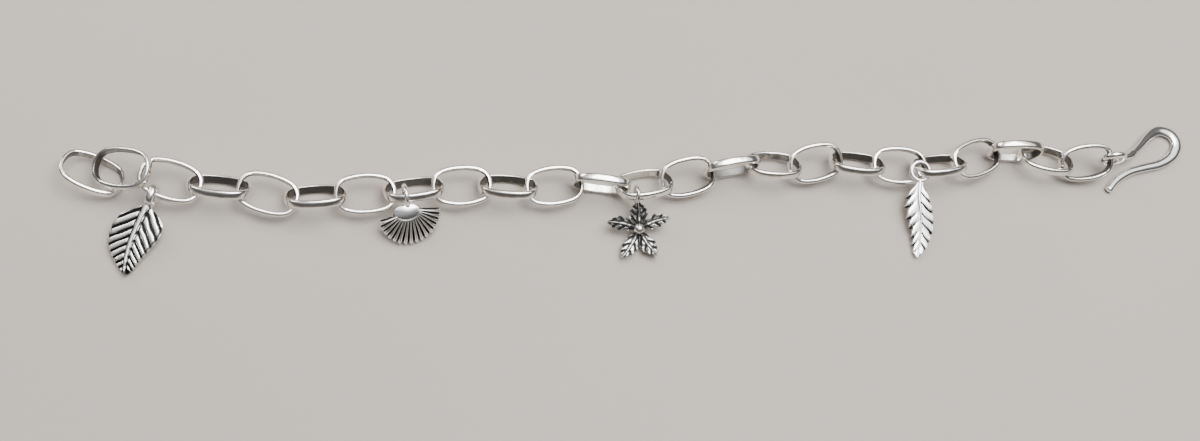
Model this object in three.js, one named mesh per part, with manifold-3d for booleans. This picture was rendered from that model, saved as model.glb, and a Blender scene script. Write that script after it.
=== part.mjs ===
// Silver charm bracelet, lying open: 24 oval links, a hook clasp and four charms.
// Millimetres, +Z up. The chain runs along +X with the hook at the +X end,
// and the charms lie on the -Y side of the chain.
import * as THREE from "three";
import { mergeVertices } from "three/addons/utils/BufferGeometryUtils.js";
import Module from "manifold-3d";

const wasm = await Module();
wasm.setup();

// Link: an oval of four arcs, bent from a band with a flat inside and a domed outside
const LINK_LENGTH = 9.7;
const LINK_WIDTH = 6.6;
const BAND_WIDTH = 1.3;
const BAND_THICKNESS = 0.58;   // at the middle of the dome
const BAND_EDGE = 0.42;        // at the rims, where the dome starts
const SHOULDER_DROP = 0.15;    // of the dome's shoulders below its top, as a share of its height
const END_RADIUS = 2.9;        // outer radius of the two ends of the oval
const END_STEPS = 6;
const SIDE_STEPS = 5;

// Round wire and the rings bent from it
const WIRE_SIDES = 8;
const RING_STEPS = 20;

// Charms: a plate with its bail, a ring of wire, soldered to its top
const PLATE = 1.1;
const PLATE_BEVEL = 0.3;
const BAIL = { inside: 1.25, wire: 0.7 };         // inner radius; the leaf's and the shell's
const FLOWER_BAIL = { inside: 1.05, wire: 0.6 };
const FEATHER_RING = { inside: 1.3, wire: 0.7 };
const SOLDER_LAP = 0.35;       // how far a plate runs into its bail
const FLOWER_LAP = 0.7;        // the flower's top petal covers the lower part of its bail
const LEAF = { length: 11.2, width: 7.6 };
const SHELL = { length: 6.4, width: 9.6, height: 2.2, umbo: 2.5, broadest: 2.3 };
const FLOWER = { reach: 5.3, petals: 5, petalWidth: 3.2, bead: 0.95 };
const FEATHER = { length: 13.2, width: 4.3, bend: 0.6 };

// Hook clasp
const HOOK_WIRE = 1.15;
const HOOK_EYE_INSIDE = 1.35;  // inner radius
const HOOK_EYE_PLAY = 0.3;     // of the eye along the chain, beyond the last link's band
const HOOK_STEPS = 44;

const silver = (roughness) =>
  new THREE.MeshStandardMaterial({ color: 0xd9d7d2, roughness, metalness: 1 });

const radians = THREE.MathUtils.degToRad;
const vector = (x, y, z) => new THREE.Vector3(x, y, z);

// How each link lies. turn: its length in plan, from +X. tip: its right end up.
// lean: about its own length, 0 flat, 90 on edge. slack and side: play at the joint
// before it, along the chain and towards +Y. lift: its lowest point above the cloth.
const LINKS = [
  { turn: -23, tip: -13, lean: -14, slack: 0.0, side: 0.0, lift: 0.0 },
  { turn: -17, tip: 20, lean: 12, slack: 3.2, side: 1.5, lift: 1.7 },
  { turn: -18, tip: -8, lean: 8, slack: 1.0, side: 0.3, lift: 1.7 },
  { turn: -10, tip: 1, lean: -46, slack: 1.2, side: 0.6, lift: 0.0 },
  { turn: -18, tip: -4, lean: 11, slack: 1.1, side: 0.4, lift: 1.2 },
  { turn: 1, tip: 1, lean: -45, slack: 1.1, side: 0.3, lift: 0.0 },
  { turn: 1, tip: -1, lean: 13, slack: 1.0, side: 0.0, lift: 1.3 },
  { turn: 5, tip: 0, lean: -44, slack: 1.0, side: 0.1, lift: 0.0 },
  { turn: 2, tip: -1, lean: 13, slack: 1.0, side: -0.2, lift: 1.3 },
  { turn: -8, tip: 3, lean: -42, slack: 1.1, side: 0.0, lift: 0.0 },
  { turn: 5, tip: 0, lean: 13, slack: 1.1, side: 0.0, lift: 1.3 },
  { turn: -10, tip: 1, lean: 94, slack: 0.9, side: 0.2, lift: 0.0 },
  { turn: 8, tip: -2, lean: -30, slack: 1.2, side: 0.0, lift: 0.5 },
  { turn: 10, tip: 2, lean: 26, slack: 1.1, side: -0.2, lift: 0.8 },
  { turn: 7, tip: -1, lean: 91, slack: 0.8, side: 0.1, lift: 0.0 },
  { turn: -3, tip: -2, lean: -32, slack: 1.2, side: 0.0, lift: 0.6 },
  { turn: 10, tip: 2, lean: 25, slack: 1.1, side: -0.3, lift: 0.9 },
  { turn: -9, tip: 2, lean: -40, slack: 1.0, side: -0.4, lift: 0.2 },
  { turn: -5, tip: 1, lean: 14, slack: 1.1, side: 0.2, lift: 1.4 },
  { turn: 5, tip: 0, lean: -44, slack: 1.4, side: -0.3, lift: 0.3 },
  { turn: 18, tip: -4, lean: 12, slack: 1.1, side: -0.3, lift: 1.3 },
  { turn: -4, tip: 1, lean: 88, slack: 1.0, side: 0.0, lift: 0.0 },
  { turn: -14, tip: 2, lean: -25, slack: 2.6, side: -0.6, lift: 0.6 },
  { turn: 3, tip: 9, lean: 32, slack: 1.3, side: -0.3, lift: 0.8 },
];

// --- links -----------------------------------------------------------------

// Points round the outside of the oval with their outward normals, four arcs in turn
function ovalStations() {
  const halfLength = LINK_LENGTH / 2;
  const halfWidth = LINK_WIDTH / 2;
  const endCentre = halfLength - END_RADIUS;
  const sideRadius =
    (endCentre ** 2 + halfWidth ** 2 - END_RADIUS ** 2) / (2 * (halfWidth - END_RADIUS));
  const sideCentre = sideRadius - halfWidth;
  const join = Math.atan2(sideCentre, endCentre);
  const end = { radius: END_RADIUS, sweep: 2 * join, steps: END_STEPS };
  const side = { radius: sideRadius, sweep: Math.PI - 2 * join, steps: SIDE_STEPS };
  const arcs = [
    { ...end, x: endCentre, y: 0, from: -join },
    { ...side, x: 0, y: -sideCentre, from: join },
    { ...end, x: -endCentre, y: 0, from: Math.PI - join },
    { ...side, x: 0, y: sideCentre, from: Math.PI + join },
  ];
  const stations = [];
  for (const arc of arcs) {
    for (let step = 0; step < arc.steps; step += 1) {
      const angle = arc.from + (arc.sweep * step) / arc.steps;
      const nx = Math.cos(angle);
      const ny = Math.sin(angle);
      stations.push({ x: arc.x + arc.radius * nx, y: arc.y + arc.radius * ny, nx, ny });
    }
  }
  return stations;
}

// A round ring of the band's section, moved point by point onto the oval
function linkGeometry() {
  const halfBand = BAND_WIDTH / 2;
  const dome = BAND_THICKNESS - BAND_EDGE;
  const shoulder = dome * SHOULDER_DROP;
  const section = [
    [BAND_THICKNESS, -halfBand],
    [dome, -halfBand],
    [shoulder, -halfBand / 3],
    [shoulder, halfBand / 3],
    [dome, halfBand],
    [BAND_THICKNESS, halfBand],
    [BAND_THICKNESS, -halfBand],
  ];
  const stations = ovalStations();
  const profile = section.map(([depth, height]) => new THREE.Vector2(LINK_WIDTH - depth, height));
  const ring = new THREE.LatheGeometry(profile, stations.length);
  const place = ring.attributes.position;
  for (let index = 0; index < place.count; index += 1) {
    const station = stations[Math.floor(index / section.length) % stations.length];
    const [depth, height] = section[index % section.length];
    place.setXYZ(index, station.x - depth * station.nx, station.y - depth * station.ny, height);
  }
  return ring;
}

function linkTurn({ turn, tip, lean }) {
  const angles = new THREE.Euler(radians(lean), -radians(tip), radians(turn), "ZYX");
  return new THREE.Quaternion().setFromEuler(angles);
}

// Threads each link through the one before it and sets its height by its lowest point
function layLinks(geometry) {
  const halfInside = LINK_LENGTH / 2 - BAND_THICKNESS;
  const middle = vector(0, 0, 0);
  let armBefore = null;
  return LINKS.map((pose) => {
    const rotation = linkTurn(pose);
    const arm = vector(halfInside, 0, 0).applyQuaternion(rotation);
    if (armBefore) {
      const reach = armBefore.clone().add(arm);
      reach.setLength(reach.length() - pose.slack);
      middle.add(reach);
      middle.y += pose.side;
    }
    const turned = geometry.clone().applyQuaternion(rotation);
    turned.computeBoundingBox();
    middle.z = pose.lift - turned.boundingBox.min.z;
    armBefore = arm;
    return { rotation, middle: middle.clone() };
  });
}

// A point in the middle of a laid link's band, by its place round the oval
function bandPoint(link, place) {
  const stations = ovalStations();
  const before = stations[Math.floor(place) % stations.length];
  const after = stations[Math.ceil(place) % stations.length];
  const share = place % 1;
  const inward = BAND_THICKNESS / 2;
  const x = THREE.MathUtils.lerp(before.x - inward * before.nx, after.x - inward * after.nx, share);
  const y = THREE.MathUtils.lerp(before.y - inward * before.ny, after.y - inward * after.ny, share);
  return vector(x, y, 0).applyQuaternion(link.rotation).add(link.middle);
}

// --- solids joined by soldering -------------------------------------------------

function toSolid(geometry) {
  const bare = geometry.clone();
  bare.deleteAttribute("normal");
  bare.deleteAttribute("uv");
  const merged = mergeVertices(bare, 1e-4);
  const mesh = new wasm.Mesh({
    numProp: 3,
    vertProperties: new Float32Array(merged.attributes.position.array),
    triVerts: new Uint32Array(merged.index.array),
  });
  return new wasm.Manifold(mesh);
}

function toGeometry(solid) {
  const mesh = solid.getMesh();
  const geometry = new THREE.BufferGeometry();
  geometry.setAttribute("position", new THREE.BufferAttribute(mesh.vertProperties, 3));
  geometry.setIndex(new THREE.BufferAttribute(mesh.triVerts, 1));
  geometry.computeVertexNormals();
  return geometry;
}

function solder(first, ...others) {
  return toGeometry(others.reduce((sum, next) => sum.add(toSolid(next)), toSolid(first)));
}

// --- charms --------------------------------------------------------------------
// Each is made round the middle of its bail: the plate hangs towards -Y, its face up.

// Outlines of blades, in two columns: the length down from the top, then the width
// there, each as a share of the whole
const LEAF_EDGE = [[0, 0.12], [0.05, 0.55], [0.2, 0.93], [0.4, 1], [0.62, 0.84], [0.82, 0.45], [1, 0]];
const FEATHER_EDGE = [[0, 0.2], [0.06, 0.6], [0.22, 0.95], [0.5, 1], [0.7, 0.85], [0.87, 0.45], [1, 0]];
const PETAL_EDGE = [[0, 0.3], [0.3, 0.7], [0.6, 1], [0.82, 0.7], [1, 0]];
const EDGE_STEPS = 9;

// bend: how far the blade bows out towards +X at half its length
function bladeShape({ length, width, bend = 0 }, edge) {
  const side = edge.map(([down, across]) => new THREE.Vector2((across * width) / 2, -down * length));
  const right = new THREE.SplineCurve(side).getPoints(EDGE_STEPS);
  const left = right.slice(0, -1).reverse().map((point) => new THREE.Vector2(-point.x, point.y));
  const outline = [...right, ...left];
  outline.forEach((point) => {
    point.x += bend * Math.sin((-point.y / length) * Math.PI);
  });
  return new THREE.Shape(outline);
}

function plate(shape) {
  const geometry = new THREE.ExtrudeGeometry(shape, {
    depth: PLATE - PLATE_BEVEL,
    bevelSize: PLATE_BEVEL,
    bevelOffset: -PLATE_BEVEL,
    bevelThickness: PLATE_BEVEL / 2,
    bevelSegments: 1,
    curveSegments: EDGE_STEPS,
  });
  return geometry.translate(0, 0, (PLATE_BEVEL - PLATE) / 2);
}

// Stands on edge, its hole along X
function uprightBail({ inside, wire }) {
  const ring = new THREE.TorusGeometry(inside + wire / 2, wire / 2, WIRE_SIDES, RING_STEPS);
  return ring.rotateY(Math.PI / 2);
}

const plateTop = ({ inside, wire }, lap) => lap - inside - wire;

function leafCharm() {
  const blade = plate(bladeShape(LEAF, LEAF_EDGE)).translate(0, plateTop(BAIL, SOLDER_LAP), 0);
  return solder(blade, uprightBail(BAIL));
}

// A fan cut from a low dome, which is a little broader than the fan
const FAN_SHOULDER = { across: 0.8, down: 0.2 };
const FAN_STEPS = 16;
const DOME = { across: 0.53, down: 0.66, centre: 0.45, sides: 24, rings: 14 };

function shellCharm() {
  const { length, width, height, broadest } = SHELL;
  const half = width / 2;
  const umbo = SHELL.umbo / 2;
  const shoulder = vector(FAN_SHOULDER.across * half, -FAN_SHOULDER.down * broadest, 0);
  const fan = new THREE.Shape();
  fan.moveTo(-umbo, 0);
  fan.quadraticCurveTo(-shoulder.x, shoulder.y, -half, -broadest);
  fan.absellipse(0, -broadest, half, length - broadest, Math.PI, 2 * Math.PI);
  fan.quadraticCurveTo(shoulder.x, shoulder.y, umbo, 0);
  const block = new THREE.ExtrudeGeometry(fan, {
    depth: height, bevelEnabled: false, curveSegments: FAN_STEPS,
  });
  const dome = new THREE.SphereGeometry(1, DOME.sides, DOME.rings);
  dome.scale(DOME.across * width, DOME.down * length, height);
  dome.translate(0, -DOME.centre * length, 0);
  const shell = toGeometry(toSolid(block).intersect(toSolid(dome)));
  shell.translate(0, plateTop(BAIL, SOLDER_LAP), -PLATE / 2);
  return solder(shell, uprightBail(BAIL));
}

// Pointed petals round a bead, the bail on the top one
function flowerCharm() {
  const size = { length: FLOWER.reach, width: FLOWER.petalWidth };
  const petal = plate(bladeShape(size, PETAL_EDGE)).rotateZ(Math.PI);
  const petals = [];
  for (let count = 0; count < FLOWER.petals; count += 1) {
    petals.push(petal.clone().rotateZ((count * 2 * Math.PI) / FLOWER.petals));
  }
  const bead = new THREE.SphereGeometry(FLOWER.bead, 2 * WIRE_SIDES, WIRE_SIDES);
  bead.translate(0, 0, PLATE / 2);
  const flower = solder(...petals, bead);
  flower.translate(0, plateTop(FLOWER_BAIL, FLOWER_LAP) - FLOWER.reach, 0);
  return solder(flower, uprightBail(FLOWER_BAIL));
}

// Its ring lies flat, in the plane of the blade
function featherCharm() {
  const ring = uprightBail(FEATHER_RING).rotateY(Math.PI / 2);
  const blade = plate(bladeShape(FEATHER, FEATHER_EDGE));
  blade.translate(0, plateTop(FEATHER_RING, SOLDER_LAP), 0);
  return solder(blade, ring);
}

// place: where on the link's oval the bail hangs. hang: from the band's middle there
// to the middle of the bail. turn: in plan, 0 pointing along -Y. reach: bail to tip.
const CHARMS = [
  {
    name: "leaf_charm", make: leafCharm, link: 3, place: 18.0,
    hang: [0, -0.3, 0], turn: -20, reach: 12.8,
  },
  {
    name: "shell_charm", make: shellCharm, link: 8, place: 18.5,
    hang: [-0.4, 0.3, 0.1], turn: 8, reach: 8.0,
  },
  {
    name: "flower_charm", make: flowerCharm, link: 13, place: 18.0,
    hang: [-0.3, 0.4, -0.3], turn: 0, reach: 11.3,
  },
  {
    name: "feather_charm", make: featherCharm, link: 20, place: 15.2,
    hang: [0.3, 0, 0], turn: -7, reach: 14.8,
  },
];

function layCharm({ name, make, link, place, hang, turn, reach }, links) {
  const middle = bandPoint(links[link - 1], place).add(vector(...hang));
  const tilt = Math.asin((middle.z - PLATE / 2) / reach);
  const mesh = new THREE.Mesh(make(), silver(0.3));
  mesh.name = name;
  mesh.position.copy(middle);
  mesh.rotation.set(tilt, 0, radians(turn), "ZYX");
  return mesh;
}

// --- hook ----------------------------------------------------------------------

// Middle of the wire, from the eye's middle; z is above the cloth
const HOOK_ROUTE = [
  { x: 2.0, y: 0.5, z: 2.6 },
  { x: 4.8, y: 1.2, z: 2.2 },
  { x: 7.4, y: 2.9, z: 1.7 },
  { x: 10.2, y: 5.1, z: 1.2 },
  { x: 12.9, y: 6.4, z: 0.8 },
  { x: 15.4, y: 5.7, z: 0.6 },
  { x: 16.2, y: 3.6, z: 0.6 },
  { x: 14.6, y: 1.3, z: 0.6 },
  { x: 11.4, y: -0.3, z: 0.6 },
  { x: 8.1, y: -0.9, z: 0.6 },
  { x: 4.9, y: -1.6, z: 0.6 },
  { x: 2.0, y: -3.0, z: 0.6 },
  { x: -0.4, y: -5.0, z: 0.7 },
];

function hookClasp(lastLink) {
  const eye = bandPoint(lastLink, END_STEPS / 2).add(vector(HOOK_EYE_PLAY, 0, 0));
  const points = HOOK_ROUTE.map(({ x, y, z }) => vector(eye.x + x, eye.y + y, z));
  const route = new THREE.CatmullRomCurve3(points, false, "centripetal");
  const section = new THREE.Shape().absarc(0, 0, HOOK_WIRE / 2, 0, 2 * Math.PI);
  const wire = new THREE.ExtrudeGeometry(section, {
    extrudePath: route, steps: HOOK_STEPS, curveSegments: WIRE_SIDES / 2, bevelEnabled: false,
  });
  const wireRadius = HOOK_WIRE / 2;
  const eyeRadius = HOOK_EYE_INSIDE + wireRadius;
  const ring = new THREE.TorusGeometry(eyeRadius, wireRadius, WIRE_SIDES, RING_STEPS);
  ring.rotateX(Math.PI / 2).translate(eye.x, eye.y, eye.z);
  const tip = new THREE.SphereGeometry(wireRadius, WIRE_SIDES, WIRE_SIDES);
  tip.translate(...points.at(-1).toArray());
  const hook = new THREE.Mesh(solder(wire, ring, tip), silver(0.22));
  hook.name = "hook_clasp";
  return hook;
}

// --- the bracelet ----------------------------------------------------------------

const bracelet = new THREE.Group();
const link = linkGeometry();
const laid = layLinks(link);
laid.forEach(({ rotation, middle }, index) => {
  const mesh = new THREE.Mesh(link, silver(0.25));
  mesh.name = `link_${String(index + 1).padStart(2, "0")}`;
  mesh.quaternion.copy(rotation);
  mesh.position.copy(middle);
  bracelet.add(mesh);
});
CHARMS.forEach((charm) => bracelet.add(layCharm(charm, laid)));
bracelet.add(hookClasp(laid.at(-1)));

// The origin is under the middle of the whole, on the cloth
bracelet.updateMatrixWorld(true);
const bounds = new THREE.Box3().setFromObject(bracelet, true);
bracelet.position.set(
  -(bounds.min.x + bounds.max.x) / 2,
  -(bounds.min.y + bounds.max.y) / 2,
  -bounds.min.z,
);

export default bracelet;
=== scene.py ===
import math

import bmesh
import bpy
import numpy as np
from mathutils import Matrix, Vector, noise


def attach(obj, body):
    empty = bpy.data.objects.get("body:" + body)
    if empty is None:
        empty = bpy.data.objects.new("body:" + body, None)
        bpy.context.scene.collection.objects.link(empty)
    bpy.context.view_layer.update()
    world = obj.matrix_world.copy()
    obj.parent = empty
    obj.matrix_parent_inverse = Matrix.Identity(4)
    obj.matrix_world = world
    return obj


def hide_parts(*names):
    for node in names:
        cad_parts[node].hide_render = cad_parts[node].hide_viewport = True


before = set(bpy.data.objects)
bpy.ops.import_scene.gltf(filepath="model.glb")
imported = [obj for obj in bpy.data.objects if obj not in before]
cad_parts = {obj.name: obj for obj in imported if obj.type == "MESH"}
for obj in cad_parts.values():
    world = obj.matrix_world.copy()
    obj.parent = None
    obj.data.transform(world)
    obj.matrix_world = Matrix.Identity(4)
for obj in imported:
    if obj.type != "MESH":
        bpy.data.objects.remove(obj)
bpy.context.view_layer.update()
mm = 0.001

studio = {
    "azimuth": -30.9, "elevation": 68.0, "roll": 26.6,      # degrees
    "distance": 0.208, "lookAt": (-0.0128, -0.0023, 0.0),
    "lens": 38.5,
    "floorSize": 3.0,
    "floorColor": (0.435, 0.392, 0.35),
    "sky": 0.36,
    # name, power in watts, side in metres, place, tint
    "panels": [("core", 5.4, 0.42, (0.11, 0.09, 0.57), (0.97, 0.985, 1)),
               ("ceiling", 5.0, 1.0, (0.16, 0.15, 0.75), (0.97, 0.985, 1)),
               ("window", 1.8, 0.3, (-0.42, 0.42, 0.42), (1, 0.99, 0.97))],
}


def node(tree, kind, **settings):
    made = tree.nodes.new(kind)
    for name, value in settings.items():
        setattr(made, name, value)
    return made


def wire(tree, *pairs):
    for start, end in pairs:
        tree.links.new(start, end)


def ramp(tree, stops, source=None):
    made = node(tree, "ShaderNodeValToRGB")
    points = made.color_ramp.elements
    while len(points) < len(stops):
        points.new(0.5)
    for point, (place, color) in zip(points, stops):
        point.position = place
        point.color = (*color, 1)
    if source:
        wire(tree, (source, made.inputs["Fac"]))
    return made


# Silver with oxide left in its hollows, and on the links painted shade on the inside of the band as well:
# the recess attribute on the mesh says where, and a patchy noise keeps the border of the oxide from being
# even.
def makeAgedSilver():
    group = bpy.data.node_groups.new("agedSilver", "ShaderNodeTree")
    add = group.interface.new_socket
    for name, kind, value in (
        ("Silver", "NodeSocketColor", (0.93, 0.92, 0.9, 1)),
        ("Oxide", "NodeSocketColor", (0.03, 0.028, 0.026, 1)),
        ("Oxidised", "NodeSocketFloat", 0.8),
        ("Tarnish", "NodeSocketFloat", 0.15),
        ("Polish", "NodeSocketFloat", 0.12),
        ("Dents", "NodeSocketFloat", 0.2),
    ):
        add(name=name, in_out="INPUT", socket_type=kind).default_value = value
    for name, kind in (("Color", "NodeSocketColor"), ("Roughness", "NodeSocketFloat"),
                       ("Normal", "NodeSocketVector")):
        add(name=name, in_out="OUTPUT", socket_type=kind)
    given = node(group, "NodeGroupInput").outputs
    result = node(group, "NodeGroupOutput").inputs
    where = node(group, "ShaderNodeTexCoord").outputs["Object"]
    recess = node(group, "ShaderNodeAttribute", attribute_name="recess").outputs["Fac"]

    def grain(scale, detail, roughness=0.5):
        made = node(group, "ShaderNodeTexNoise")
        made.inputs["Scale"].default_value = scale
        made.inputs["Detail"].default_value = detail
        made.inputs["Roughness"].default_value = roughness
        wire(group, (where, made.inputs["Vector"]))
        return made.outputs["Fac"]

    def maths(operation, first, second, clamp=False):
        made = node(group, "ShaderNodeMath", operation=operation, use_clamp=clamp)
        for socket, value in zip(made.inputs, (first, second)):
            if isinstance(value, (int, float)):
                socket.default_value = value
            else:
                wire(group, (value, socket))
        return made.outputs[0]

    def blend(share, first, second):
        made = node(group, "ShaderNodeMix", data_type="RGBA")
        wire(group, (share, made.inputs["Factor"]), (first, made.inputs["A"]),
             (second, made.inputs["B"]))
        return made.outputs["Result"]

    patches = grain(900, 4, 0.6)
    speckle = grain(5200, 3, 0.6)
    clouds = grain(260, 2)
    uneven = maths("ADD", maths("MULTIPLY", patches, 0.7), maths("MULTIPLY", speckle, 0.45))
    covered = maths("SUBTRACT", maths("MULTIPLY", recess, 1.55), uneven)
    covered = maths("MULTIPLY", maths("ADD", covered, 0.28), 2.4, clamp=True)
    covered = maths("MULTIPLY", covered, given["Oxidised"], clamp=True)
    dull = ramp(group, [(0.42, (0, 0, 0)), (0.72, (1, 1, 1))], clouds).outputs["Color"]
    dull = maths("MULTIPLY", dull, given["Tarnish"])
    yellowed = node(group, "ShaderNodeMix", data_type="RGBA", blend_type="MULTIPLY")
    yellowed.inputs["B"].default_value = (0.78, 0.72, 0.62, 1)
    wire(group, (dull, yellowed.inputs["Factor"]), (given["Silver"], yellowed.inputs["A"]))
    color = blend(covered, yellowed.outputs["Result"], given["Oxide"])
    rough = maths("ADD", given["Polish"], maths("MULTIPLY", covered, 0.3))
    rough = maths("ADD", rough, maths("MULTIPLY", patches, 0.1))
    height = maths("ADD", grain(420, 2), maths("MULTIPLY", speckle, 0.16))
    bump = node(group, "ShaderNodeBump")
    bump.inputs["Distance"].default_value = 0.00012
    wire(group, (given["Dents"], bump.inputs["Strength"]), (height, bump.inputs["Height"]),
         (color, result["Color"]), (rough, result["Roughness"]), (bump.outputs[0], result["Normal"]))
    return group


agedSilver = makeAgedSilver()


def silver(name, **values):
    made = bpy.data.materials.new(name)
    made.use_nodes = True
    tree = made.node_tree
    shader = tree.nodes["Principled BSDF"]
    shader.inputs["Metallic"].default_value = 1
    metal = node(tree, "ShaderNodeGroup", node_tree=agedSilver)
    for key, value in values.items():
        metal.inputs[key].default_value = value
    wire(tree, (metal.outputs["Color"], shader.inputs["Base Color"]),
         (metal.outputs["Roughness"], shader.inputs["Roughness"]),
         (metal.outputs["Normal"], shader.inputs["Normal"]))
    return made


linkSilver = silver("linkSilver", Silver=(0.93, 0.91, 0.87, 1), Oxidised=0.85, Tarnish=0.5,
                    Polish=0.1, Dents=0.35)
charmSilver = silver("charmSilver", Oxidised=1.0, Tarnish=0.15, Polish=0.14, Dents=0.25)
featherSilver = silver("featherSilver", Oxidised=1.0, Tarnish=0.1, Polish=0.16, Dents=0.15)
flowerSilver = silver("flowerSilver", Silver=(0.68, 0.68, 0.67, 1), Oxidised=0.9, Tarnish=0.5,
                      Polish=0.2, Dents=0.6)
hookSilver = silver("hookSilver", Oxidised=0.5, Tarnish=0.15, Polish=0.08, Dents=0.15)


def ease(low, high, value):
    share = min(max((value - low) / (high - low), 0), 1)
    return share * share * (3 - 2 * share)


# A smooth line through (place, value) pairs
def along(pairs, place):
    for index in range(len(pairs) - 1):
        if place <= pairs[index + 1][0] or index == len(pairs) - 2:
            break
    (x0, y0), (x1, y1) = pairs[index], pairs[index + 1]
    before = pairs[max(index - 1, 0)]
    after = pairs[min(index + 2, len(pairs) - 1)]
    share = min(max((place - x0) / (x1 - x0), 0), 1)
    slope0 = (y1 - before[1]) / (x1 - before[0]) * (x1 - x0)
    slope1 = (after[1] - y0) / (after[0] - x0) * (x1 - x0)
    square, cube = share ** 2, share ** 3
    return ((2 * cube - 3 * square + 1) * y0 + (cube - 2 * square + share) * slope0
            + (3 * square - 2 * cube) * y1 + (cube - square) * slope1)


# Turns each closed shell to face outward by the sign of its own volume, as shells
# that cross each other can come out of the recalculation inside out
def faceOutward(bm):
    bmesh.ops.recalc_face_normals(bm, faces=bm.faces)
    bm.normal_update()
    left = set(bm.faces)
    while left:
        closed, waiting = set(), [left.pop()]
        while waiting:
            face = waiting.pop()
            closed.add(face)
            for near in {f for e in face.edges for f in e.link_faces} & left:
                left.discard(near)
                waiting.append(near)
        volume = sum(f.calc_area() * f.normal.dot(f.calc_center_median()) for f in closed)
        if volume < 0:
            bmesh.ops.reverse_faces(bm, faces=list(closed))


weld = 1e-4                    # millimetres between points that are one
sharpEdge = math.radians(50)


# Makes the mesh, laid by place, an object that stands in for its node. Whatever
# would dip under the floor is flattened at floor level.
def finishPiece(bm, name, node, material, place):
    bmesh.ops.remove_doubles(bm, verts=bm.verts, dist=weld)
    faceOutward(bm)
    for edge in bm.edges:
        edge.smooth = len(edge.link_faces) == 2 and edge.calc_face_angle(0) < sharpEdge
    for face in bm.faces:
        face.smooth = True
    bm.transform(place)
    for v in bm.verts:
        v.co.z = max(v.co.z, 0)
    mesh = bpy.data.meshes.new(name)
    bm.to_mesh(mesh)
    bm.free()
    mesh.materials.append(material)
    piece = bpy.data.objects.new(name, mesh)
    bpy.context.collection.objects.link(piece)
    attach(piece, "root")
    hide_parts(node)


def cornersOf(node):
    return np.unique(np.array([v.co[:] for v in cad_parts[node].data.vertices]).round(7), axis=0)


def placing(origin, x, y, z):
    turned = Matrix((x, y, z)).transposed().to_4x4()
    return Matrix.Translation(Vector(origin)) @ turned @ Matrix.Scale(mm, 4)


link = {
    "length": 9.7, "width": 6.6, "endRadius": 2.9,
    "band": 1.4, "thickness": 0.62, "sideThickness": 0.74, "edge": 0.1, "shoulder": 0.15,
    "roundness": 3.2,          # of the domed outside, 2 for an ellipse
    "sectionSides": 32, "steps": 120,
    "wander": 0.05, "dents": 0.015,
    # how dark the inside of the band is painted, oxide with painted shade, less in the links that lie
    # flat
    "leaning": 1.0, "flat": 0.6,
    "oxideAndShadeByLink": {4: 0.9, 10: 0.8, 12: 0.4, 13: 0.45, 15: 0.85, 16: 0.65, 22: 0.35, 23: 0.75},
}


# A point of the oval's outline and its outward normal, by the share of the way round
def ovalAt(share):
    radius = link["endRadius"]
    centre = link["length"] / 2 - radius
    half = link["width"] / 2
    sideRadius = (centre ** 2 + half ** 2 - radius ** 2) / (2 * (half - radius))
    drop = sideRadius - half
    join = math.atan2(drop, centre)
    endArc, sideArc = radius * join, sideRadius * (math.pi - 2 * join)
    total = 4 * endArc + 2 * sideArc
    way = (share % 1) * total
    arcs = ((centre, 0, radius, 0, endArc), (0, -drop, sideRadius, join, sideArc),
            (-centre, 0, radius, math.pi - join, 2 * endArc),
            (0, drop, sideRadius, math.pi + join, sideArc),
            (centre, 0, radius, 2 * math.pi - join, endArc))
    for x, y, arcRadius, start, length in arcs:
        if way <= length:
            break
        way -= length
    angle = start + way / arcRadius
    normal = Vector((math.cos(angle), math.sin(angle), 0))
    return Vector((x, y, 0)) + arcRadius * normal, normal


# The link's own axes, x along its length and z through its opening
def linkFrame(node):
    corners = cornersOf(node)
    middle = corners.mean(axis=0)
    axes = np.linalg.eigh(np.cov((corners - middle).T))[1]
    x, z = Vector(axes[:, 2]), Vector(axes[:, 0])
    x = x if x.x > 0 else -x
    z = z if z.z > 0 else -z
    return placing(middle, x, z.cross(x), z)


# A half-round section spun into a ring, then laid round the oval
def makeLink(node, number):
    bm = bmesh.new()
    bmesh.ops.create_circle(bm, segments=link["sectionSides"], radius=1)
    far = link["width"]
    for v in bm.verts:
        out, up = v.co.x, v.co.y
        power = 2 / link["roundness"]
        height = math.copysign(abs(up) ** power, up) * link["band"] / 2
        depth = link["thickness"] - link["edge"]
        if out > 1e-6:
            depth *= 1 - out ** power
        else:
            depth += link["edge"] * ease(0, 0.5, -out)
            height *= 1 - 0.1 * ease(0, 0.4, -out)
        v.co = (far - depth, 0, height)
    bmesh.ops.spin(bm, geom=bm.verts[:] + bm.edges[:], cent=(0, 0, 0), axis=(0, 0, 1),
                   angle=2 * math.pi, steps=link["steps"], use_merge=True)
    recess = bm.verts.layers.float.new("recess")
    seed = Vector((number * 7.3, number * 3.1, 0))
    oxideAndShade = link["oxideAndShadeByLink"].get(number, link["flat"] if number % 2 else link["leaning"])
    for v in bm.verts:
        depth = far - v.co.xy.length
        height = v.co.z
        rim, normal = ovalAt(math.atan2(v.co.y, v.co.x) / (2 * math.pi))
        lumpy = noise.noise(rim * 0.3 + seed) * link["wander"]
        lumpy += noise.noise(Vector((rim.x, rim.y, height)) * 1.6 + seed) * link["dents"]
        # the inner wall is darkest at the ends, where the links cross: painted shade between the links on
        # top of the oxide
        ends = ease(0.5, 0.9, abs(rim.x) / (link["length"] / 2))
        inside = ease(0.86, 0.95, depth / link["thickness"])
        v[recess] = inside * max(0.62 * oxideAndShade, ends)
        sides = 1 - ease(0.55, 0.95, abs(rim.x) / (link["length"] / 2))
        depth *= 1 + (link["sideThickness"] / link["thickness"] - 1) * sides
        across = 2 * rim.x / link["length"] * 2 * rim.y / link["width"]
        depth -= 0.02 + link["shoulder"] * 4 * across ** 2
        v.co = rim - (depth + lumpy) * normal + Vector((0, 0, height))
    finishPiece(bm, "fine_" + node, node, linkSilver, linkFrame(node))


linkNodes = sorted(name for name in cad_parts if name.startswith("link_"))
for count, name in enumerate(linkNodes):
    makeLink(name, count + 1)
print("links", len(linkNodes))


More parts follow.
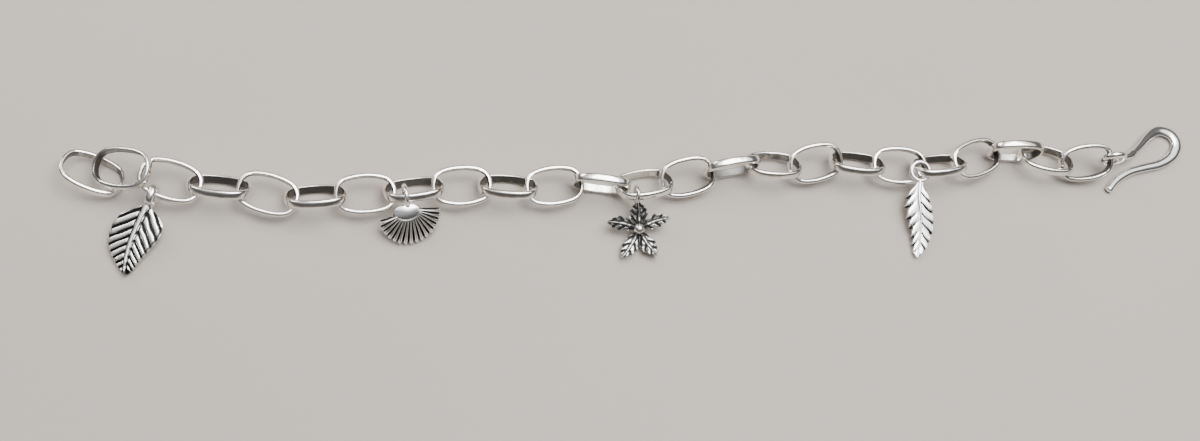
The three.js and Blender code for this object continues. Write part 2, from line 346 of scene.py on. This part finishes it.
# The charm's own axes: x across, y from the tip to the bail, z out of its face.
# Its back is its broadest flat face and x stays level. The origin is bailReach below the
# bail's top, and in the middle across, or leftReach from the left where that is given.
def charmFrame(node, bailReach, leftReach=None):
    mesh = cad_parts[node].data
    areas = {}
    for polygon in mesh.polygons:
        key = tuple(round(c, 3) for c in polygon.normal)
        areas[key] = areas.get(key, 0) + polygon.area
    z = Vector(max((key for key in areas if abs(key[2]) > 0.8), key=areas.get)).normalized()
    z = z if z.z > 0 else -z
    x = Vector((0, 0, 1)).cross(z).normalized()
    x = x if x.x > 0 else -x
    y = z.cross(x)
    corners = cornersOf(node)
    low = [(corners @ np.array(axis)).min() for axis in (x, y, z)]
    high = [(corners @ np.array(axis)).max() for axis in (x, y, z)]
    across = low[0] + leftReach * mm if leftReach else (low[0] + high[0]) / 2
    level = (low[2] + high[2]) / 2
    return placing(x * across + y * (high[1] - bailReach * mm) + z * level, x, y, z)


# A ring of wire about z, or about z turned by place; flatten widens its wire
def ringInto(bm, radius, wire, flatten=(1, 1), place=Matrix(), sides=16, steps=56):
    others = set(bm.verts)
    made = bmesh.ops.create_circle(bm, segments=sides, radius=wire)
    for v in made["verts"]:
        v.co = (radius + v.co.x * flatten[0], 0, v.co.y * flatten[1])
    edges = list({e for v in made["verts"] for e in v.link_edges})
    bmesh.ops.spin(bm, geom=made["verts"] + edges, cent=(0, 0, 0), axis=(0, 0, 1),
                   angle=2 * math.pi, steps=steps, use_merge=True)
    bmesh.ops.transform(bm, matrix=place, verts=[v for v in bm.verts if v not in others])


# A plate whose upper face is a grid laid by place(across, down), across -1..1, down 0..1,
# which gives a point and how deep in a groove it is. The back is flat.
def plateInto(bm, columns, rows, place, back, turn=None):
    recess = bm.verts.layers.float.get("recess") or bm.verts.layers.float.new("recess")
    made = bmesh.ops.create_grid(bm, x_segments=columns, y_segments=rows, size=1)
    top = made["verts"]
    for v in top:
        point, groove = place(v.co.x, (1 - v.co.y) / 2)
        v.co = point
        v[recess] = groove
    faces = list({f for v in top for f in v.link_faces})
    raised = bmesh.ops.extrude_face_region(bm, geom=faces)
    below = [g for g in raised["geom"] if isinstance(g, bmesh.types.BMVert)]
    for v in below:
        v.co.z = back
        v[recess] = 0.2
    if turn:
        bmesh.ops.transform(bm, matrix=turn, verts=top + below)


leaf = {
    "top": -1.4, "length": 11.2,
    "middle": [(0, -0.2), (0.3, -0.55), (0.6, -0.7), (0.85, -0.4), (1, 0.1)],
    "left": [(0, 0.25), (0.05, 0.9), (0.12, 1.9), (0.22, 3.0), (0.32, 3.5), (0.42, 3.6),
             (0.52, 3.5), (0.62, 3.3), (0.7, 2.95), (0.78, 2.35), (0.86, 1.6), (0.93, 0.95), (1, 0)],
    "right": [(0, 0.25), (0.05, 0.9), (0.12, 2.1), (0.22, 3.3), (0.3, 3.6), (0.42, 3.55),
              (0.52, 3.15), (0.62, 2.7), (0.7, 2.3), (0.78, 1.85), (0.86, 1.4), (0.93, 0.9), (1, 0)],
    "firstPitch": 1.75, "lastPitch": 0.9, "slantLeft": 0.85, "slantRight": 1.2,
    "rib": 0.34, "midrib": 0.6, "base": 0.1, "back": -0.5,
}


def leafPoint(across, down):
    sides = leaf["left"] if across < 0 else leaf["right"]
    reach = max(along(sides, down), 0.04)
    x = across * reach
    y = down * leaf["length"]
    slant = leaf["slantLeft"] if across < 0 else leaf["slantRight"]
    root = y - abs(x) * slant + (0.45 if across < 0 else 0)
    narrowing = (leaf["firstPitch"] - leaf["lastPitch"]) / leaf["length"]
    veins = -math.log(max(1 - narrowing * root / leaf["firstPitch"], 0.05)) / narrowing
    phase = (veins + 0.1 * noise.noise(Vector((x, y, 0)) * 0.5)) % 1
    wide = 0.18 + 0.06 * noise.noise(Vector((x, y, 9)) * 0.9)
    groove = math.exp(-(((phase - 0.5) / wide) ** 2))
    side = abs(x) / max(0.38 * (1.15 - 0.65 * down), 0.05)
    ridge = math.sqrt(max(1 - side ** 4, 0))
    groove *= ease(0.9, 1.6, side)
    gutter = 0.75 * math.exp(-(((side - 1.35) / 0.3) ** 2))
    edge = ease(0.0, 0.12, 1 - abs(across))
    grain = 0.2 * noise.noise(Vector((x, y, 3)) * 2.5) * ease(0.75, 1, down)
    z = leaf["base"] + leaf["rib"] * (1 - max(groove, gutter)) * (0.35 + 0.65 * edge) + grain
    z = max(z, z + (leaf["midrib"] - 0.1 * down) * ridge * 0.7)
    z -= 0.12 * across ** 2 * (1 - down * 0.5)
    notch = 1 - 0.035 * groove * ease(0.85, 1, abs(across))
    dark = max(groove, 0.7 * gutter) * ease(0.7, 1.1, side) + ease(0.8, 1, down) * 0.45
    return Vector((along(leaf["middle"], down) + x * notch, leaf["top"] - y, z)), min(dark, 1)


def makeLeaf():
    bm = bmesh.new()
    plateInto(bm, 110, 190, leafPoint, leaf["back"])
    ringInto(bm, 1.6, 0.35, flatten=(0.95, 1.7), place=Matrix.Rotation(math.pi / 2, 4, "Y"))
    finishPiece(bm, "fine_leaf", "leaf_charm", charmSilver,
                charmFrame("leaf_charm", 1.95))


shell = {
    "dome": (2.35, 1.45, 0.55), "domePlace": (-0.25, -2.6, 0.55),
    "ribs": 16, "start": (1.7, 1.0), "from": 190, "to": 385,
    # the outer edge by the share of the way round, in x and in y
    "edgeX": [(0, -4.5), (0.05, -4.65), (0.14, -4.15), (0.23, -3.4), (0.32, -2.4), (0.42, -1.0),
              (0.52, 0.5), (0.62, 1.9), (0.71, 3.1), (0.81, 4.2), (0.91, 4.9), (1, 5.1)],
    "edgeY": [(0, -3.2), (0.05, -4.0), (0.14, -5.2), (0.23, -6.3), (0.32, -7.1), (0.42, -7.6),
              (0.52, -7.6), (0.62, -7.2), (0.71, -6.5), (0.81, -5.4), (0.91, -4.1), (1, -2.8)],
    "crown": 1.35, "rib": 0.44, "back": -0.5,
}


def shellPoint(across, down):
    turn = (across + 1) / 2
    phase = turn * shell["ribs"] % 1 if across < 0.9999 else 0
    rib = math.sin(math.pi * phase)
    angle = math.radians(shell["from"] + (shell["to"] - shell["from"]) * turn)
    x0 = shell["domePlace"][0] + shell["start"][0] * math.cos(angle)
    y0 = shell["domePlace"][1] + shell["start"][1] * math.sin(angle)
    x1, y1 = along(shell["edgeX"], turn), along(shell["edgeY"], turn)
    way = down * (1 + 0.1 * (rib - 0.7) * ease(0.7, 1, down))
    share = 0.35 + 0.62 * down
    height = shell["crown"] * math.sqrt(1 - share ** 2) - 0.25
    height += shell["rib"] * (rib - 1) * (0.4 + 0.6 * ease(0.1, 0.6, down))
    height -= 0.3 * ease(0.93, 1, down)
    groove = ease(0.3, 0.8, 1 - rib) * ease(-0.2, 0.35, down)
    z = max(height, shell["back"] + 0.15)
    return Vector((x0 + (x1 - x0) * way, y0 + (y1 - y0) * way, z)), groove


def makeShell():
    bm = bmesh.new()
    plateInto(bm, 256, 44, shellPoint, shell["back"])
    dome = bmesh.ops.create_uvsphere(bm, u_segments=48, v_segments=32, radius=1)["verts"]
    bmesh.ops.scale(bm, vec=shell["dome"], verts=dome)
    bmesh.ops.rotate(bm, cent=(0, 0, 0), matrix=Matrix.Rotation(math.radians(3), 3, "Z"), verts=dome)
    bmesh.ops.translate(bm, vec=shell["domePlace"], verts=dome)
    ringInto(bm, 1.6, 0.35, place=Matrix.Rotation(math.pi / 2, 4, "Y"))
    finishPiece(bm, "fine_shell", "shell_charm", charmSilver,
                charmFrame("shell_charm", 1.95))


flower = {
    "centre": (0.0, -5.5),
    # each petal's direction, length, width, curl across and how dull it is
    "petals": [(90, 4.4, 1.15, 0.12, 0.34), (17, 5.45, 0.88, -0.3, 0.1), (-57, 5.2, 1.05, 0.25, 0.0),
               (-125, 5.35, 0.95, -0.28, 0.0), (165, 5.3, 0.88, 0.3, 0.26)],
    "outline": [(0, 0.35), (0.15, 0.55), (0.35, 1.05), (0.58, 1.4), (0.78, 1.05), (0.92, 0.45), (1, 0)],
    "teeth": 4.0, "tooth": 0.26, "slant": 0.9, "groove": 0.3, "midrib": 0.24, "lift": 0.5,
    "base": 0.15, "back": -0.35, "bead": 0.92, "beadHeight": 0.3,
}


def petalPoint(across, down, length, width, curl, dull):
    y = down * length
    reach = max(along(flower["outline"], down), 0.04) * width
    slanted = y - abs(across) * reach * flower["slant"]
    phase = (slanted / length * flower["teeth"] + (0.3 if across < 0 else 0)) % 1
    tooth = 1 - flower["tooth"] * ease(0.3, 1, abs(across)) * (1 - phase) * ease(0, 0.3, down)
    x = across * reach * tooth
    lumps = noise.noise(Vector((x * 1.6, y * 1.1, curl * 20)))
    side = abs(across) * reach / (0.22 * (1.2 - 0.8 * down))
    ridge = math.sqrt(max(1 - side ** 2, 0))
    groove = math.exp(-(((phase - 0.92) / 0.15) ** 2)) + math.exp(-(((phase + 0.08) / 0.15) ** 2))
    groove *= ease(0.9, 1.8, side) * ease(-0.1, 0.5, abs(across) + 0.3 * lumps)
    gutter = 0.7 * math.exp(-(((side - 1.5) / 0.45) ** 2))
    z = flower["base"] + flower["lift"] * down ** 2 - 0.2 * across ** 2 + 0.14 * lumps
    z += flower["midrib"] * ridge - flower["groove"] * max(groove, gutter * 0.7)
    z += 0.14 * math.sin(math.pi * phase) * ease(0.3, 1, abs(across)) - 0.3 * ease(0.25, 0, down)
    z += math.copysign(0.3, curl) * across * down
    hollow = 0.8 * ease(0.34, 0.16, down)
    dark = max(groove, gutter) * 0.9 + hollow + dull * (1 - 0.6 * ridge) + 0.1 + 0.15 * lumps
    return Vector((x + curl * math.sin(math.pi * down), y, z)), min(max(dark, 0), 1)


def makeFlower():
    bm = bmesh.new()
    for angle, length, width, curl, dull in flower["petals"]:
        turn = Matrix.Translation((*flower["centre"], 0)) @ Matrix.Rotation(
            math.radians(angle - 90), 4, "Z")
        plateInto(bm, 44, 84, lambda across, down: petalPoint(across, down, length, width, curl, dull),
                  flower["back"], turn)
    bead = bmesh.ops.create_uvsphere(bm, u_segments=32, v_segments=20, radius=flower["bead"])["verts"]
    bmesh.ops.translate(bm, vec=(*flower["centre"], flower["beadHeight"]), verts=bead)
    ringInto(bm, 1.35, 0.3, place=Matrix.Rotation(math.pi / 2, 4, "Y"))
    finishPiece(bm, "fine_flower", "flower_charm", flowerSilver,
                charmFrame("flower_charm", 1.65))


feather = {
    "top": -1.65, "length": 13.1, "ring": 1.6, "wire": 0.36,
    "middle": [(0, -0.05), (0.12, -0.2), (0.25, -0.2), (0.45, 0.1), (0.65, 0.25), (0.85, 0.0),
               (1, -0.4)],
    "left": [(0, 0.4), (0.06, 0.9), (0.16, 1.9), (0.3, 2.5), (0.45, 2.5), (0.6, 2.15),
             (0.72, 1.6), (0.85, 1.2), (0.94, 0.75), (1, 0)],
    "right": [(0, 0.35), (0.06, 0.7), (0.16, 1.5), (0.3, 2.1), (0.45, 2.3), (0.6, 2.25),
              (0.72, 1.9), (0.85, 1.4), (0.94, 0.75), (1, 0)],
    "pitch": 1.75, "slant": 1.35, "groove": 0.26, "tooth": 0.22, "rib": 0.24,
    "base": 0.25, "back": -0.45,
}


def featherPoint(across, down):
    leftSide = across < 0
    reach = max(along(feather["left"] if leftSide else feather["right"], down), 0.04)
    y = down * feather["length"]
    out = abs(across) * reach
    root = y - out * feather["slant"] + 0.22 * out ** 2 + (0.6 if leftSide else 0)
    phase = (root / feather["pitch"] + 0.15 * noise.noise(Vector((out, y, 5)) * 0.6)) % 1
    tooth = 1 - feather["tooth"] * ease(0.55, 1, abs(across)) * (1 - phase) * (1.3 if leftSide else 0.6)
    narrow = 0.08 if leftSide else 0.07
    groove = math.exp(-(((phase - 0.94) / narrow) ** 2)) + math.exp(-(((phase + 0.06) / narrow) ** 2))
    side = out / (0.2 * (1.25 - down))
    groove *= ease(0.9, 2.2, side) * ease(0.02, 0.1, down)
    groove *= (ease(0.3, 0.65, abs(across)) if leftSide else 1) * ease(1, 0.8, down)
    ridge = math.sqrt(max(1 - side ** 2, 0))
    gutter = 0.45 * math.exp(-(((side - 1.5) / 0.35) ** 2)) * (1 if leftSide else 0.5)
    z = feather["base"] - 0.08 * across ** 2 + feather["rib"] * ridge * 0.7
    z -= feather["groove"] * max(groove, gutter) - 0.1 * math.sin(math.pi * phase) * abs(across)
    z += 0.12 * math.sin(2 * math.pi * down)
    middle = along(feather["middle"], down)
    x = middle + math.copysign(out, across) * tooth
    return Vector((x, feather["top"] - y, z)), min(groove + gutter * 0.7, 1)


def makeFeather():
    bm = bmesh.new()
    plateInto(bm, 84, 230, featherPoint, feather["back"])
    ringInto(bm, feather["ring"], feather["wire"])
    finishPiece(bm, "fine_feather", "feather_charm", featherSilver,
                charmFrame("feather_charm", 2.0, 2.0))


makeLeaf()
makeShell()
makeFlower()
makeFeather()
print("charms", len([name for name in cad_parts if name.endswith("_charm")]))


hook = {
    "eyeRadius": 1.9, "eyeWire": 0.53, "eyePlay": 0.3,
    "bandMiddle": 0.29,        # from the last link's outer end to the middle of its band
    # middle of the wire from the eye's middle, with its height above the floor
    "route": [(1.6, 0.2, 2.7), (3.2, 0.7, 2.5), (4.8, 1.2, 2.2), (7.3, 2.9, 1.7), (10.0, 5.0, 1.2),
              (12.5, 6.2, 0.8), (14.8, 5.5, 0.68), (15.5, 3.6, 0.62), (14.1, 1.4, 0.62),
              (11.2, -0.1, 0.62), (8.1, -0.7, 0.62), (4.9, -1.4, 0.62), (2.0, -2.8, 0.62),
              (-0.3, -4.8, 0.64)],
    # width in the plane of the bend and thickness, by the share of the way along
    "width": [(0, 1.1), (0.06, 1.15), (0.11, 1.45), (0.14, 1.15), (0.25, 1.4), (0.33, 1.75),
              (0.45, 2.0), (0.55, 1.9), (0.7, 1.6), (0.9, 1.45), (1, 1.4)],
    "thickness": [(0, 1.05), (0.11, 1.25), (0.14, 1.05), (0.33, 1.0), (0.45, 1.05), (0.6, 1.15),
                  (1, 1.18)],
    "steps": 220, "sides": 24, "roundTip": 0.012,
}


# A wire swept along the route, by widths and thicknesses that change on the way,
# closed by a flat start inside the eye's wire and a rounded tip
def sweepInto(bm, route, width, thickness, steps, sides, roundTip):
    turn = bm.verts.layers.float.new("turn")
    recess = bm.verts.layers.float.get("recess")
    passed = [0]
    for before, after in zip(route, route[1:]):
        passed.append(passed[-1] + (after - before).length)
    lines = [[(way / passed[-1], point[axis]) for way, point in zip(passed, route)] for axis in range(3)]

    def at(share):
        return Vector([along(line, share) for line in lines])

    ring = bmesh.ops.create_circle(bm, segments=sides, radius=1, cap_ends=True)["verts"]
    for v in ring:
        v[turn] = math.atan2(v.co.y, v.co.x)
    for count in range(steps + 1):
        share = count / steps
        if count:
            edges = list({e for v in ring for e in v.link_edges
                          if e.verts[0] in ring and e.verts[1] in ring})
            grown = bmesh.ops.extrude_edge_only(bm, edges=edges)["geom"]
            ring = [g for g in grown if isinstance(g, bmesh.types.BMVert)]
        point = at(share)
        forward = (at(min(share + 0.004, 1)) - at(max(share - 0.004, 0))).normalized()
        across = forward.cross(Vector((0, 0, 1))).normalized()
        upward = across.cross(forward)
        tip = max((share - (1 - roundTip)) / roundTip, 0)
        small = math.sqrt(max(1 - tip ** 2, 0)) if tip < 1 else 0
        wide, high = along(width, share) / 2 * small, along(thickness, share) / 2 * small
        for v in ring:
            v.co = point + across * math.cos(v[turn]) * wide + upward * math.sin(v[turn]) * high
            v[recess] = 0


def makeHook():
    lastLink = linkFrame(linkNodes[-1])
    bandEnd = Vector((link["length"] / 2 - hook["bandMiddle"], 0, 0))
    eye = lastLink @ bandEnd / mm + Vector((hook["eyePlay"], 0, 0))
    bm = bmesh.new()
    bm.verts.layers.float.new("recess")
    route = [Vector((eye.x + x, eye.y + y, z)) for x, y, z in hook["route"]]
    sweepInto(bm, route, hook["width"], hook["thickness"], hook["steps"], hook["sides"], hook["roundTip"])
    ringInto(bm, hook["eyeRadius"], hook["eyeWire"],
             place=Matrix.Translation(eye) @ Matrix.Rotation(math.pi / 2, 4, "X"))
    finishPiece(bm, "fine_hook", "hook_clasp", hookSilver,
                Matrix.Scale(mm, 4))


makeHook()
print("hook")


def makeFloor():
    bm = bmesh.new()
    bmesh.ops.create_grid(bm, x_segments=1, y_segments=1, size=studio["floorSize"])
    mesh = bpy.data.meshes.new("floor")
    bm.to_mesh(mesh)
    bm.free()
    floor = bpy.data.objects.new("floor", mesh)
    bpy.context.collection.objects.link(floor)
    made = bpy.data.materials.new("paleFloor")
    made.use_nodes = True
    tree = made.node_tree
    shader = tree.nodes["Principled BSDF"]
    soft = node(tree, "ShaderNodeTexNoise")
    soft.inputs["Scale"].default_value = 9
    where = node(tree, "ShaderNodeTexCoord")
    r, g, b = studio["floorColor"]
    tint = ramp(tree, [(0.3, (r * 0.97, g * 0.97, b * 0.97)), (0.7, (r * 1.02, g * 1.02, b * 1.02))],
                soft.outputs["Fac"])
    wire(tree, (where.outputs["Object"], soft.inputs["Vector"]),
         (tint.outputs["Color"], shader.inputs["Base Color"]))
    shader.inputs["Roughness"].default_value = 0.9
    shader.inputs["Specular IOR Level"].default_value = 0.1
    mesh.materials.append(made)


def areaLight(name, place, power, size, color):
    light = bpy.data.lights.new(name, "AREA")
    light.energy, light.size, light.color = power, size, color
    lamp = bpy.data.objects.new(name, light)
    lamp.location = place
    lamp.rotation_euler = (-Vector(place)).to_track_quat("-Z", "Y").to_euler()
    bpy.context.collection.objects.link(lamp)


def makeWorld():
    world = bpy.data.worlds.new("studio")
    bpy.context.scene.world = world
    world.use_nodes = True
    tree = world.node_tree
    tree.nodes.clear()
    ray = node(tree, "ShaderNodeTexCoord").outputs["Generated"]
    parts = node(tree, "ShaderNodeSeparateXYZ")
    wire(tree, (ray, parts.inputs[0]))
    bright = studio["sky"]
    tones = [(0.0, (1.6, 1.45, 1.22)), (0.14, (0.8, 0.74, 0.68)), (0.3, (0.3, 0.3, 0.31)),
             (0.55, (0.45, 0.45, 0.46)), (0.8, (1.4, 1.42, 1.46))]
    height = ramp(tree, [(place, tuple(bright * c for c in tone)) for place, tone in tones],
                  parts.outputs["Z"])
    behind = ramp(tree, [(0.05, (0.8, 0.8, 0.8)), (0.4, (0.8, 0.8, 0.8)), (0.9, (1.2, 1.2, 1.2))])
    shift = node(tree, "ShaderNodeMapRange")
    shift.inputs["From Min"].default_value = -1
    wire(tree, (parts.outputs["Y"], shift.inputs["Value"]), (shift.outputs[0], behind.inputs["Fac"]))
    mixed = node(tree, "ShaderNodeMix", data_type="RGBA", blend_type="MULTIPLY")
    mixed.inputs["Factor"].default_value = 1
    sky = node(tree, "ShaderNodeBackground")
    plain = node(tree, "ShaderNodeBackground")
    plain.inputs["Color"].default_value = (*studio["floorColor"], 1)
    seen = node(tree, "ShaderNodeLightPath").outputs["Is Camera Ray"]
    choose = node(tree, "ShaderNodeMixShader")
    out = node(tree, "ShaderNodeOutputWorld")
    wire(tree, (height.outputs["Color"], mixed.inputs["A"]), (behind.outputs["Color"], mixed.inputs["B"]),
         (mixed.outputs["Result"], sky.inputs["Color"]), (seen, choose.inputs["Fac"]),
         (sky.outputs[0], choose.inputs[1]), (plain.outputs[0], choose.inputs[2]),
         (choose.outputs[0], out.inputs["Surface"]))


def makeCamera():
    azimuth, elevation, roll = (math.radians(studio[k]) for k in ("azimuth", "elevation", "roll"))
    back = Vector((math.sin(azimuth) * math.cos(elevation),
                   -math.cos(azimuth) * math.cos(elevation), math.sin(elevation)))
    level = Vector((math.cos(azimuth), math.sin(azimuth), 0))
    steep = back.cross(level)
    right = math.cos(roll) * level + math.sin(roll) * steep
    camera = bpy.data.cameras.new("camera")
    camera.lens = studio["lens"]
    camera.clip_start = 0.01
    viewer = bpy.data.objects.new("camera", camera)
    place = Vector(studio["lookAt"]) + back * studio["distance"]
    turned = Matrix((right, back.cross(right), back)).transposed().to_4x4()
    viewer.matrix_world = Matrix.Translation(place) @ turned
    bpy.context.collection.objects.link(viewer)
    bpy.context.scene.camera = viewer


makeFloor()
makeWorld()
for name, power, size, place, tint in studio["panels"]:
    areaLight(name, place, power, size, tint)
makeCamera()
